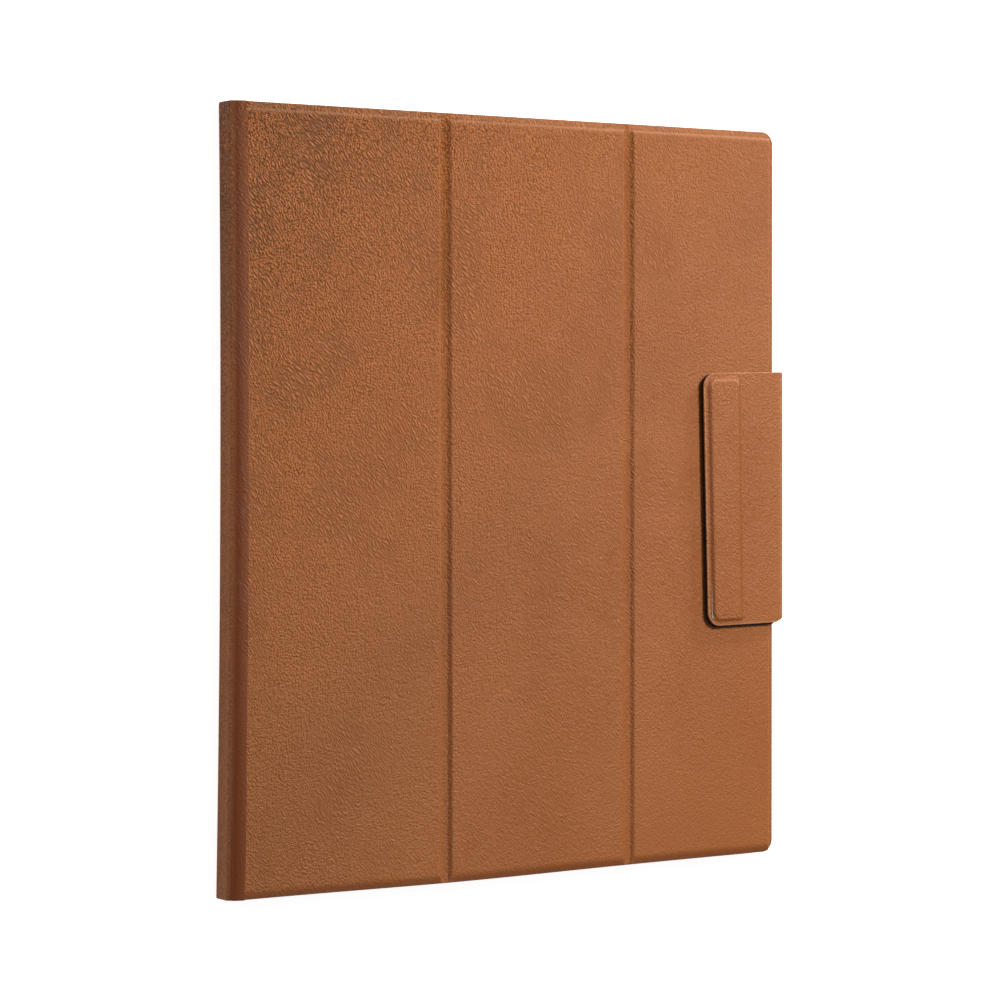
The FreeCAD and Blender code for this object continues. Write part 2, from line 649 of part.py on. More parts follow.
os.makedirs("parts", exist_ok=True)
box = FreeCAD.BoundBox()
for name, shape in everything:
    if not shape.isValid() or shape.Volume <= 0:
        raise ValueError("%s isn't a sound solid" % name)
    shape.exportStep(os.path.join("parts", name + ".step"))
    box.add(shape.BoundBox)
print("%d sub-parts, %.1f x %.1f x %.1f mm" % (len(everything), box.XLength, box.YLength, box.ZLength))
for name, point in axes().items():
    print("%s axis x %.3f z %.3f" % (name, point[0], point[1]))
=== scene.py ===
# %% [markdown]
# # A tan folio with an e-reader inside
# The object is a magnetic folio in soft artificial leather, closed round a ten-inch e-reader. It lies on
# its back: +X runs from the spine to the closing flap, +Y to the head, +Z out of the front cover.
# A CAD model fixes every size and every joint. Here its soft parts get their real, rounded shapes and
# every surface gets its finish. The first lines load that model as a frame that never moves.

# %% Load the frame
from math import cos, pi, radians, sin
import bmesh
import bpy
import numpy as np
from mathutils import Matrix, Vector


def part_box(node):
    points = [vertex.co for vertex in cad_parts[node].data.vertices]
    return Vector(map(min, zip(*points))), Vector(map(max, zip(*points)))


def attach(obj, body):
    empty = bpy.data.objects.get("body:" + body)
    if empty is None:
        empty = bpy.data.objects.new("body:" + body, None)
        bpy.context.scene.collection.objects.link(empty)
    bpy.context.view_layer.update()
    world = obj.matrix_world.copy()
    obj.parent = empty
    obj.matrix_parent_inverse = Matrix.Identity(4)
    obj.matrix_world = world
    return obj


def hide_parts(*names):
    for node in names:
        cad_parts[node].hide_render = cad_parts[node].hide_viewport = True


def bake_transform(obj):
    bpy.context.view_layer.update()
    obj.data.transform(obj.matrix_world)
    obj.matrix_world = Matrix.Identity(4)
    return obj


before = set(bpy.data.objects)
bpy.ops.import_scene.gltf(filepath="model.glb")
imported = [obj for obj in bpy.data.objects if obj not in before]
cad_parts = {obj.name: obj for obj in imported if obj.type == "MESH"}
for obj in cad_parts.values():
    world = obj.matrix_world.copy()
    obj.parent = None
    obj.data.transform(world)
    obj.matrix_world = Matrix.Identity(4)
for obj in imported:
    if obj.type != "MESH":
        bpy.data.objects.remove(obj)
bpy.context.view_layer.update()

mm = 0.001

# %% [markdown]
# ## Where things are
# Every place is read from the frame, so the visual pieces stay in step with the CAD model. A span is a
# pair: the lowest and highest coordinate of one CAD node along one axis.

# %% Read the levels of the cover
def span(node, axis):
    """The lowest and highest coordinate of a CAD node along x, y or z."""
    low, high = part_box(node)
    return low["xyz".index(axis)], high["xyz".index(axis)]


cover_y = span("back_leather", "y")
lining_z = span("panel_1_lining", "z")            # the front cover's lining, under its boards
flange_z = span("fold_strip_1", "z")[1]           # leather where no board lies under it
front_z = span("panel_1_leather", "z")[1]         # top of the raised panels
back_lining_z = span("back_lining", "z")
spine_x = span("spine_leather", "x")
spine_z = span("spine_leather", "z")
tongue_x, tongue_z = span("tongue_leather", "x"), span("tongue_leather", "z")
flap_y = span("tongue_leather", "y")
gusset_x, gusset_z = span("gusset_leather", "x"), span("gusset_leather", "z")
leather = gusset_x[1] - gusset_x[0]
turn_in = span("back_leather", "x")[1] - span("back_lining", "x")[1]
lining_thickness = lining_z[1] - lining_z[0]
print("leather %.1f mm, lining %.1f mm, turned in %.1f mm"
      % (leather / mm, lining_thickness / mm, turn_in / mm))

# %% [markdown]
# ## Small helpers for shader nodes
# A finish is a tree of nodes. One helper adds a node and fills its sockets, whether the value is a number
# or another node's output, so that each finish further on reads as a list of what it is made of.

# %% Node helpers
def add(tree, kind, inputs=None, **settings):
    """A new node with its settings and inputs; an input may be a value or another node's output."""
    node = tree.nodes.new(kind)
    for key, value in settings.items():
        setattr(node, key, value)
    for key, value in (inputs or {}).items():
        if isinstance(value, bpy.types.NodeSocket):
            tree.links.new(value, node.inputs[key])
        else:
            node.inputs[key].default_value = value
    return node


def sums(tree, operation, *values):
    """The result of one arithmetic node."""
    return add(tree, "ShaderNodeMath", dict(enumerate(values)), operation=operation).outputs[0]


def graded(tree, value, low, high, start=0.0, end=1.0):
    """A value taken from one range to another and kept inside it."""
    return add(tree, "ShaderNodeMapRange", {"Value": value, "From Min": low, "From Max": high,
                                            "To Min": start, "To Max": end}).outputs["Result"]


def blended(tree, share, first, second):
    """Two colours mixed by a share."""
    return add(tree, "ShaderNodeMix", {0: share, 6: first, 7: second}, data_type="RGBA").outputs[2]


def in_millimetres(tree, vector):
    """A place in metres given in millimetres, so that a texture's scale reads as a size."""
    return add(tree, "ShaderNodeVectorMath", {0: vector, 1: (1000, 1000, 1000)},
               operation="MULTIPLY").outputs[0]


def bumped(tree, shader, height, strength, distance):
    """Feeds a height through a Bump node into a shader's Normal."""
    bump = add(tree, "ShaderNodeBump", {"Strength": strength, "Distance": distance, "Height": height})
    tree.links.new(bump.outputs[0], shader.inputs["Normal"])


def new_group(name, inputs, outputs):
    """An empty node group with named sockets, its input node and its output node."""
    group = bpy.data.node_groups.new(name, "ShaderNodeTree")
    for label, kind, value in inputs:
        socket = group.interface.new_socket(label, in_out="INPUT", socket_type="NodeSocket" + kind)
        if value is not None:
            socket.default_value = value
    for label, kind in outputs:
        group.interface.new_socket(label, in_out="OUTPUT", socket_type="NodeSocket" + kind)
    return group, group.nodes.new("NodeGroupInput"), group.nodes.new("NodeGroupOutput")


def placed(tree, group, inputs):
    """One use of a node group, read in Object coordinates."""
    coordinates = add(tree, "ShaderNodeTexCoord")
    node = add(tree, "ShaderNodeGroup", node_tree=group)
    tree.links.new(coordinates.outputs["Object"], node.inputs["Vector"])
    for key, value in inputs.items():
        node.inputs[key].default_value = value
    return node


def new_finish(name):
    """A material with only a Principled shader in it, its tree and that shader."""
    made = bpy.data.materials.new(name)
    made.use_nodes = True
    return made, made.node_tree, made.node_tree.nodes["Principled BSDF"]


# %% [markdown]
# ## Camera and light
# The camera looks down at the closed cover from a little to the left of its front, through a long lens,
# so that the spine just shows. Its axes are worked out from two angles and a small roll. A soft lamp
# stands above right of the cover, and a second one rakes across it from low down, which is what makes
# leather grain readable. A third, far to the left, lights the spine. A pale sweep and a pale surround
# fill the shadows.

# %% Camera
yaw, pitch, roll = radians(33.52), radians(1.33), radians(-0.067)
distance, lens = 0.9918, 118.1
aim = Vector((-0.0082, -0.00085, 0.010))

back = Vector((-sin(yaw) * cos(pitch), sin(pitch), cos(yaw) * cos(pitch)))
level_right = Vector((0, 1, 0)).cross(back).normalized()
level_up = back.cross(level_right)
right = level_right * cos(roll) + level_up * sin(roll)
up = level_up * cos(roll) - level_right * sin(roll)
camera = bpy.data.objects.new("camera", bpy.data.cameras.new("camera"))
turned = Matrix((right, up, back)).transposed().to_4x4()
camera.matrix_world = Matrix.Translation(aim + back * distance) @ turned
camera.data.lens = lens
camera.data.sensor_width = 36
bpy.context.scene.collection.objects.link(camera)
bpy.context.scene.camera = camera
print("camera at", [round(v, 3) for v in camera.location])


# %% Lamps, surround and floor
def lamp(name, place, size, power):
    """A square soft lamp that points at the middle of the object."""
    data = bpy.data.lights.new(name, "AREA")
    data.size, data.energy = size, power
    made = bpy.data.objects.new(name, data)
    made.location = place
    made.rotation_euler = (Vector((0, 0, 0.01)) - Vector(place)).to_track_quat("-Z", "Y").to_euler()
    bpy.context.scene.collection.objects.link(made)


lamp("key_lamp", (0.17, 0.19, 0.50), 0.14, 2.75)
lamp("raking_lamp", (0.60, 0.58, 0.23), 0.14, 2.85)
lamp("left_fill", (-0.75, 0.05, 0.22), 0.5, 0.46)
bpy.context.scene.view_settings.view_transform = "Standard"

world = bpy.data.worlds.new("surround")
world.use_nodes = True
surround = world.node_tree.nodes["Background"]
surround.inputs["Color"].default_value = (0.95, 0.975, 1.0, 1)
surround.inputs["Strength"].default_value = 0.19
bpy.context.scene.world = world

floor_half, floor_drop = 3.0, 0.05 * mm
floor_mesh = bpy.data.meshes.new("floor")
floor_mesh.from_pydata([(x * floor_half, y * floor_half, -floor_drop)
                        for x, y in ((-1, -1), (1, -1), (1, 1), (-1, 1))], [], [(0, 1, 2, 3)])
floor = bpy.data.objects.new("floor", floor_mesh)
bpy.context.scene.collection.objects.link(floor)
floor_finish, floor_tree, sweep = new_finish("pale_sweep")
sweep.inputs["Base Color"].default_value = (0.93, 0.93, 0.93, 1)
sweep.inputs["Roughness"].default_value = 0.9
sweep.inputs["Emission Color"].default_value = (1, 1, 1, 1)
glow_lighting, glow_seen = 0.2, 0.85    # the sweep lights the object less than it shines in the view
seen = add(floor_tree, "ShaderNodeLightPath").outputs["Is Camera Ray"]
floor_tree.links.new(graded(floor_tree, seen, 0, 1, glow_lighting, glow_seen),
                     sweep.inputs["Emission Strength"])
floor_mesh.materials.append(floor_finish)

# %% [markdown]
# ## Leather grain
# Embossed leather has small pebbles with narrow valleys between them, and where the sheet was pulled the
# pebbles run together into slanting creases. A Voronoi pattern gives domes with sharp valleys. The same
# kind of pattern, turned by 50 degrees and stretched, gives the creases. A slow noise bends both, and
# another picks where the creases take over. It is a group, so that one place holds the grain and any
# material can use it with its own pebble size.

# %% Leather grain group
grain, grain_in, grain_out = new_group(
    "leather_grain",
    [("Vector", "Vector", None), ("Pebble", "Float", 0.9), ("Creases", "Float", 1.0)],
    [("Height", "Float"), ("Valleys", "Float"), ("Patches", "Float")])
millimetres = in_millimetres(grain, grain_in.outputs["Vector"])
drift = add(grain, "ShaderNodeTexNoise", {"Vector": millimetres, "Scale": 0.07, "Detail": 2.0})
centred = add(grain, "ShaderNodeVectorMath", {0: drift.outputs["Color"], 1: (0.5, 0.5, 0.5)},
              operation="SUBTRACT").outputs[0]
bend_by = (5, 5, 5)                     # in millimetres
bent = add(grain, "ShaderNodeVectorMath", {0: centred, 1: bend_by, 2: millimetres},
           operation="MULTIPLY_ADD").outputs[0]
per_pebble = sums(grain, "DIVIDE", 1.0, grain_in.outputs["Pebble"])
pebbles = add(grain, "ShaderNodeTexVoronoi", {"Vector": bent, "Scale": per_pebble, "Randomness": 0.9})
crease_slant, crease_stretch = radians(-50), (3.4, 1.05, 1.5)
slanted = add(grain, "ShaderNodeMapping", {"Vector": bent, "Rotation": (0, 0, crease_slant),
                                           "Scale": crease_stretch}, vector_type="TEXTURE")
creases = add(grain, "ShaderNodeTexVoronoi", {"Vector": slanted.outputs[0], "Scale": per_pebble,
                                              "Randomness": 1.0}, feature="DISTANCE_TO_EDGE")
crease_width, crease_depth = 0.42, 0.9
lines = graded(grain, creases.outputs["Distance"], 0.0, crease_width, crease_depth, 0.0)
pulled = add(grain, "ShaderNodeTexNoise", {"Vector": millimetres, "Scale": 0.04, "Detail": 3.0})
fewest, most = 0.1, 0.75                # share of creases in calm and in pulled leather
where = sums(grain, "MULTIPLY", graded(grain, pulled.outputs["Fac"], 0.42, 0.60, fewest, most),
             grain_in.outputs["Creases"])
relief = add(grain, "ShaderNodeMix", {0: where, 2: pebbles.outputs["Distance"], 3: lines}).outputs[0]
fine = add(grain, "ShaderNodeTexNoise", {"Vector": millimetres, "Scale": 2.0, "Detail": 3.0,
                                         "Roughness": 0.6})
domes = sums(grain, "SUBTRACT", 1.0, relief)
patches = add(grain, "ShaderNodeTexNoise", {"Vector": millimetres, "Scale": 0.018, "Detail": 4.0})
grain_mean = 0.97                       # so that fading the grain in or out never tilts the leather
height = sums(grain, "SUBTRACT", sums(grain, "ADD", fine.outputs["Fac"], domes), grain_mean)
grain.links.new(height, grain_out.inputs["Height"])
grain.links.new(graded(grain, height, 0.22, -0.28), grain_out.inputs["Valleys"])
grain.links.new(patches.outputs["Fac"], grain_out.inputs["Patches"])
print("leather grain has", len(grain.nodes), "nodes")

# %% [markdown]
# ## Tan leather
# The colour is a warm tan that wanders a little over the hide. Its valleys are painted darker, as painted
# shade, and towards the spine's head it is painted paler. Each piece carries one attribute of painted
# light, above and below zero: above zero a painted highlight makes the leather paler, below zero painted
# shade makes it dark and its grain smooth.
# The grain is deepest towards the head of the spine, where the sheet was pulled hardest, and it flattens
# towards the flap.

# %% Tan leather
def scaled(colour, factor):
    """A colour made brighter or darker, with its alpha left at 1."""
    return tuple(factor * part for part in colour[:3]) + (1,)


def leather_finish(name, pale, deep, painted_highlight, painted_shade, pebble, depth, roughness):
    """Leather from its palest and deepest tone, the tones of its painted highlight and painted shade, the
    width and depth of its pebbles, and its roughness. across grows from the flap's tail to the spine's
    head, and pull is e to the power of 6 times it, which deepens both the grain and the painted valley
    shade."""
    made, tree, shader = new_finish(name)
    skin = placed(tree, grain, {"Pebble": pebble, "Creases": 1.0})
    hide = blended(tree, graded(tree, skin.outputs["Patches"], 0.3, 0.7), pale, deep)
    place = add(tree, "ShaderNodeSeparateXYZ",
                {0: add(tree, "ShaderNodeTexCoord").outputs["Object"]})
    across = sums(tree, "SUBTRACT", place.outputs["Y"], place.outputs["X"])
    pull = sums(tree, "POWER", 2.718, sums(tree, "MULTIPLY", across, 6.0))
    # Painted light: towards the spine's head the tone is painted paler, up to 1.7 times the pale tone.
    tone = blended(tree, graded(tree, across, 0, 0.2), hide, scaled(pale, 1.7))
    # Painted shade in the grain's valleys, deeper where pull is higher.
    valley_shade_share, most_valley_shade = 0.30, 0.8
    valley_shade = sums(tree, "MINIMUM", sums(tree, "MULTIPLY", skin.outputs["Valleys"],
                                     sums(tree, "MULTIPLY", pull, valley_shade_share)), most_valley_shade)
    # The attribute carries painted light: a painted highlight above zero and painted shade below zero.
    painted_light = add(tree, "ShaderNodeAttribute", attribute_name="painted_light").outputs["Fac"]
    # Where shade is painted, the grain and the painted shade in its valleys fade to a fifth.
    calm = graded(tree, painted_light, 0, -0.8, 1, 0.2)
    valley_shade = sums(tree, "MULTIPLY", valley_shade, calm)
    valley_shaded = blended(tree, valley_shade, tone, scaled(deep, 0.4))
    # Painted shade below zero, then a painted highlight above zero.
    shade_painted = blended(tree, graded(tree, painted_light, 0, -1), valley_shaded, painted_shade)
    colour = blended(tree, graded(tree, painted_light, 0, 1, 0, 0.6), shade_painted, painted_highlight)
    tree.links.new(colour, shader.inputs["Base Color"])
    tree.links.new(graded(tree, skin.outputs["Valleys"], 0.0, 1.0, roughness, roughness + 0.16),
                   shader.inputs["Roughness"])
    height = sums(tree, "MULTIPLY", sums(tree, "MULTIPLY", skin.outputs["Height"], pull), calm)
    bumped(tree, shader, height, 1.0, depth)
    shader.inputs["Specular IOR Level"].default_value = 0.42
    return made


# The third colour is the tan's painted highlight, the fourth its painted shade.
tan_leather = leather_finish(
    "tan_leather", pale=(0.40, 0.126, 0.028, 1), deep=(0.36, 0.108, 0.022, 1),
    painted_highlight=(0.64, 0.28, 0.12, 1), painted_shade=(0.165, 0.031, 0.001, 1),
    pebble=0.78, depth=0.46 * mm, roughness=0.42)

# %% [markdown]
# ## Microfibre
# The folio is lined with short-napped microfibre, brown inside the covers and nearly black under the
# flap. Nap is a fine noise in the height, with patches brushed one way and the other that read lighter
# and darker. Sheen on the shader gives the pale edge that cloth has at a low angle.

# %% Microfibre group and finishes
nap, nap_in, nap_out = new_group(
    "microfibre_nap", [("Vector", "Vector", None), ("Fibre", "Float", 0.18)],
    [("Height", "Float"), ("Brushed", "Float")])
nap_place = in_millimetres(nap, nap_in.outputs["Vector"])
fibres = add(nap, "ShaderNodeTexNoise", {"Vector": nap_place, "Detail": 3.0,
                                         "Scale": sums(nap, "DIVIDE", 1.0, nap_in.outputs["Fibre"])})
strokes = add(nap, "ShaderNodeTexNoise", {"Vector": nap_place, "Scale": 0.05, "Detail": 3.0,
                                          "Distortion": 1.5})
nap.links.new(fibres.outputs["Fac"], nap_out.inputs["Height"])
nap.links.new(graded(nap, strokes.outputs["Fac"], 0.35, 0.65), nap_out.inputs["Brushed"])


def microfibre(name, dark, light, sheen):
    """Napped cloth from its two tones and the strength of the pale edge it shows at a low angle."""
    made, tree, shader = new_finish(name)
    cloth = placed(tree, nap, {"Fibre": 0.22})
    fleck = graded(tree, cloth.outputs["Height"], 0.3, 0.7)
    brushed_share, fleck_share = 0.55, 0.45
    share = sums(tree, "MULTIPLY_ADD", cloth.outputs["Brushed"], brushed_share,
                 sums(tree, "MULTIPLY", fleck, fleck_share))
    tree.links.new(blended(tree, share, dark, light), shader.inputs["Base Color"])
    bumped(tree, shader, cloth.outputs["Height"], 0.7, 0.08 * mm)
    shader.inputs["Roughness"].default_value = 0.95
    shader.inputs["Sheen Weight"].default_value = sheen
    return made


brown_nap = microfibre("brown_microfibre", (0.060, 0.034, 0.021, 1), (0.105, 0.063, 0.040, 1), 0.1)
black_nap = microfibre("black_microfibre", (0.0025, 0.0022, 0.002, 1), (0.006, 0.0055, 0.005, 1), 0.0)

# %% [markdown]
# ## Hard finishes
# Moulded plastic, blasted aluminium, plated steel, board and glass differ in colour, gloss and the scale
# of their texture. They share one speckle group: a fine noise for the surface and a slow one for the
# cloudiness that handling and dust leave.

# %% Speckle group and hard finishes
speckle, speckle_in, speckle_out = new_group(
    "speckle", [("Vector", "Vector", None), ("Size", "Float", 0.2)],
    [("Height", "Float"), ("Cloud", "Float")])
speckle_place = in_millimetres(speckle, speckle_in.outputs["Vector"])
per_speck = sums(speckle, "DIVIDE", 1.0, speckle_in.outputs["Size"])
grit = add(speckle, "ShaderNodeTexNoise", {"Vector": speckle_place, "Detail": 2.0, "Scale": per_speck})
cloud = add(speckle, "ShaderNodeTexNoise", {"Vector": speckle_place, "Scale": 0.04, "Detail": 4.0})
speckle.links.new(grit.outputs["Fac"], speckle_out.inputs["Height"])
speckle.links.new(graded(speckle, cloud.outputs["Fac"], 0.3, 0.7), speckle_out.inputs["Cloud"])


def hard_finish(name, colour, roughness, metal, size, depth, contrast):
    """A hard surface: its colour, roughness and metal, the size and depth of its texture in mm, and how
    far its colour strays from the middle."""
    made, tree, shader = new_finish(name)
    surface = placed(tree, speckle, {"Size": size})
    fleck = graded(tree, surface.outputs["Height"], 0.3, 0.7)
    share = sums(tree, "MULTIPLY_ADD", fleck, 0.5, sums(tree, "MULTIPLY", surface.outputs["Cloud"], 0.5))
    darker = tuple(part * (1 - contrast) for part in colour) + (1,)
    lighter = tuple(min(part * (1 + contrast), 1) for part in colour) + (1,)
    tree.links.new(blended(tree, share, darker, lighter), shader.inputs["Base Color"])
    tree.links.new(graded(tree, surface.outputs["Cloud"], 0, 1, roughness * 0.9, roughness * 1.15),
                   shader.inputs["Roughness"])
    bumped(tree, shader, surface.outputs["Height"], 0.6, depth * mm)
    shader.inputs["Metallic"].default_value = metal
    return made


aluminium = hard_finish("graphite_aluminium", (0.115, 0.12, 0.128), 0.38, 1.0, 0.12, 0.02, 0.12)
magnesium = hard_finish("cast_magnesium", (0.42, 0.42, 0.41), 0.45, 1.0, 0.5, 0.03, 0.1)
nickel = hard_finish("nickel_plate", (0.60, 0.58, 0.54), 0.24, 1.0, 0.3, 0.006, 0.06)
black_plastic = hard_finish("black_plastic", (0.022, 0.022, 0.024), 0.5, 0.0, 0.15, 0.02, 0.2)
white_plastic = hard_finish("white_plastic", (0.72, 0.72, 0.68), 0.5, 0.0, 0.3, 0.01, 0.04)
fibre_board = hard_finish("fibre_board", (0.28, 0.25, 0.21), 0.85, 0.0, 0.6, 0.06, 0.22)
chip_black = hard_finish("chip_black", (0.03, 0.03, 0.033), 0.42, 0.0, 0.1, 0.01, 0.25)
pouch_foil = hard_finish("pouch_foil", (0.52, 0.52, 0.53), 0.3, 1.0, 3.0, 0.12, 0.08)
polyimide = hard_finish("polyimide", (0.42, 0.17, 0.03), 0.35, 0.0, 1.5, 0.01, 0.12)
light_plastic = hard_finish("clear_acrylic", (0.80, 0.83, 0.84), 0.15, 0.0, 2.0, 0.002, 0.02)
solder_mask = hard_finish("solder_mask", (0.014, 0.085, 0.045), 0.35, 0.0, 0.8, 0.02, 0.35)

# %% [markdown]
# ## Electronic paper and its glass
# The screen is at rest and blank: a warm grey sheet whose tiny capsules give it a faint tooth. Over it
# lies one sheet of glass, painted black on the inside round the window. One mask from the window's
# rectangle drives both the paint and how clear the glass is, so the border is opaque and the window isn't.

# %% Paper and glass
paper = hard_finish("electronic_paper", (0.56, 0.56, 0.52), 0.62, 0.0, 0.14, 0.004, 0.045)
paper_shader = paper.node_tree.nodes["Principled BSDF"]
paper_shader.inputs["Coat Weight"].default_value = 0.12
paper_shader.inputs["Coat Roughness"].default_value = 0.28

glass, glass_tree, glass_shader = new_finish("bordered_glass")
window_x, window_y = span("paper_panel", "x"), span("paper_panel", "y")
glass_place = add(glass_tree, "ShaderNodeSeparateXYZ",
                  {0: add(glass_tree, "ShaderNodeTexCoord").outputs["Object"]})


def past_window(axis, edges):
    """How far a place lies past the window along one axis: its distance from the middle, less half."""
    half = (edges[1] - edges[0]) / 2
    from_middle = sums(glass_tree, "SUBTRACT", glass_place.outputs[axis], sum(edges) / 2)
    return sums(glass_tree, "SUBTRACT", sums(glass_tree, "ABSOLUTE", from_middle), half)


outside = sums(glass_tree, "MAXIMUM", past_window("X", window_x), past_window("Y", window_y))
border = graded(glass_tree, outside, -0.4 * mm, -0.2 * mm)
tooth = placed(glass_tree, speckle, {"Size": 0.25})
glass_tree.links.new(blended(glass_tree, border, (0.75, 0.77, 0.78, 1), (0.012, 0.0125, 0.014, 1)),
                     glass_shader.inputs["Base Color"])
glass_tree.links.new(graded(glass_tree, border, 0, 1, 0.07, 1.0), glass_shader.inputs["Alpha"])
glass_tree.links.new(graded(glass_tree, tooth.outputs["Cloud"], 0, 1, 0.2, 0.3),
                     glass_shader.inputs["Roughness"])
bumped(glass_tree, glass_shader, tooth.outputs["Height"], 0.3, 0.003 * mm)

# %% [markdown]
# ## How a soft plate is made
# A cover, a panel and the flap's tongue are all plates: two surfaces over one outline, joined by a wall.
# Modelling them by hand would mean many loops round every edge. Here each surface is a height over a grid
# of x and y, worked out as whole arrays. The grid's lines crowd towards the outline, because that is
# where leather bends, and the last part of a millimetre is rolled over like a turned edge.

# %% Grids and distances
open_side = 10 * mm                     # how far an outline runs on where its piece meets a neighbour


def crowded(low, high, reach, near, pitch):
    """Positions from low to high. Within reach of an end they stand at reach times the square of an
    even count from 0 to 1, so they crowd towards the edge. Between, they are about a pitch apart."""
    edge = reach * np.linspace(0, 1, near) ** 2
    between = np.linspace(low + reach, high - reach, max(2, int((high - low - 2 * reach) / pitch) + 1))
    return np.concatenate([low + edge[:-1], between, (high - edge[:-1])[::-1]])


def inset(x, y, x_span, y_span, corners=(0, 0)):
    """How far points lie inside a rectangle whose corners are round, with one radius at low x and one at
    high x: the corner radius, less the distance past the corner's centre, or the distance to the side."""
    corner = np.where(x > sum(x_span) / 2, corners[1], corners[0])
    past_x = np.abs(x - sum(x_span) / 2) - (x_span[1] - x_span[0]) / 2 + corner
    past_y = np.abs(y - sum(y_span) / 2) - (y_span[1] - y_span[0]) / 2 + corner
    beyond = np.hypot(np.maximum(past_x, 0), np.maximum(past_y, 0))
    return corner - beyond - np.minimum(np.maximum(past_x, past_y), 0)


def eased(share):
    """The smooth step: 3 s squared less 2 s cubed, held at 0 and 1 outside."""
    kept = np.clip(share, 0, 1)
    return kept * kept * (3 - 2 * kept)


# %% Meshes from arrays
smooth_angle = radians(38)              # edges sharper than this stay crisp
merge_gap = 0.001 * mm


def mesh_piece(name, points, faces, finish, painted_light=None):
    """A piece from an array of points and a list of faces, merged, turned outwards and shaded smooth."""
    mesh = bpy.data.meshes.new(name)
    mesh.from_pydata(points.reshape(-1, 3), [], faces)
    # The attribute carries painted light: a painted highlight above zero and painted shade below zero.
    if painted_light is not None:
        mesh.attributes.new("painted_light", "FLOAT", "POINT").data.foreach_set("value", painted_light.astype(np.float32))
    work = bmesh.new()
    work.from_mesh(mesh)
    bmesh.ops.remove_doubles(work, verts=work.verts, dist=merge_gap)
    bmesh.ops.dissolve_degenerate(work, edges=work.edges, dist=merge_gap)
    bmesh.ops.recalc_face_normals(work, faces=work.faces)
    work.to_mesh(mesh)
    work.free()
    mesh.shade_smooth()
    mesh.set_sharp_from_angle(angle=smooth_angle)
    mesh.materials.append(finish)
    made = bpy.data.objects.new(name, mesh)
    bpy.context.scene.collection.objects.link(made)
    print("%s: %d faces" % (name, len(mesh.polygons)))
    return made


def grid_faces(index):
    """Quads between the neighbours of a grid of point numbers."""
    corners = [index[:-1, :-1], index[:-1, 1:], index[1:, 1:], index[1:, :-1]]
    return np.stack(corners, axis=-1).reshape(-1, 4)


# %% Plate
edge_reach, edge_lines, mesh_pitch = 6 * mm, 31, 2.2 * mm


def plate(name, x_span, y_span, top, under, finish, rolled, corners=(0, 0), butts=(0, 0), painted_light=None,
          warp=None, lines=edge_lines, reach=edge_reach, pitch=mesh_pitch):
    """A closed soft plate. top and under give heights over x and y. rolled is the radius of its edges,
    corners the radii of its outline at low and high x, and a butt of 1 leaves that side square-cut where
    it meets its neighbour. Height falls at an edge as the radius less the root of the radius squared less
    the remaining depth squared. The painted-light function gives the top its painted highlight above zero
    and its painted shade below zero, and warp moves the finished points."""
    x = crowded(*x_span, reach, lines, pitch)
    row = crowded(*y_span, reach, lines, mesh_pitch)
    middle, half = sum(y_span) / 2, (y_span[1] - y_span[0]) / 2
    past = [np.maximum(x_span[0] + corners[0] - x, 0), np.maximum(x - x_span[1] + corners[1], 0)]
    retreat = sum(radius - np.sqrt(np.maximum(radius ** 2 - over ** 2, 0))
                  for radius, over in zip(corners, past))
    grid_x = np.broadcast_to(x, (len(row), len(x)))
    grid_y = middle + (row[:, None] - middle) * (1 - retreat / half)
    open_x = (x_span[0] - open_side * butts[0], x_span[1] + open_side * butts[1])
    depth = inset(grid_x, grid_y, open_x, y_span, corners)
    fall = rolled - np.sqrt(np.maximum(rolled ** 2 - np.maximum(rolled - depth, 0) ** 2, 0))
    upper = np.stack([grid_x, grid_y, top(grid_x, grid_y) - fall], axis=-1)
    lower = np.stack([grid_x, grid_y, under(grid_x, grid_y) + fall], axis=-1)
    points = np.concatenate([upper.reshape(-1, 3), lower.reshape(-1, 3)])
    index = np.arange(upper.size // 3).reshape(grid_x.shape)
    count = index.size
    loop = np.concatenate([index[0, :-1], index[:-1, -1], index[-1, :0:-1], index[:0:-1, 0]])
    after = np.roll(loop, -1)
    wall = np.stack([loop + count, after + count, after, loop], axis=-1)
    faces = np.concatenate([grid_faces(index), grid_faces(index)[:, ::-1] + count, wall])
    painted_light_map = np.zeros(2 * count)
    if painted_light is not None:
        painted_light_map[:count] = painted_light(grid_x, grid_y).ravel()
    return mesh_piece(name, points if warp is None else warp(points), faces.tolist(), finish, painted_light_map)


# %% [markdown]
# ## How a strap is made
# The spine, its corner folds, the gusset and the flap's bend are straps: one curve in x and z, carried
# along y, with a thickness. The curve is the outer face; the inner face lies a thickness further in. The
# last rows follow a quarter circle, so the ends are rolled too.

# %% Strap
roll_steps = 6


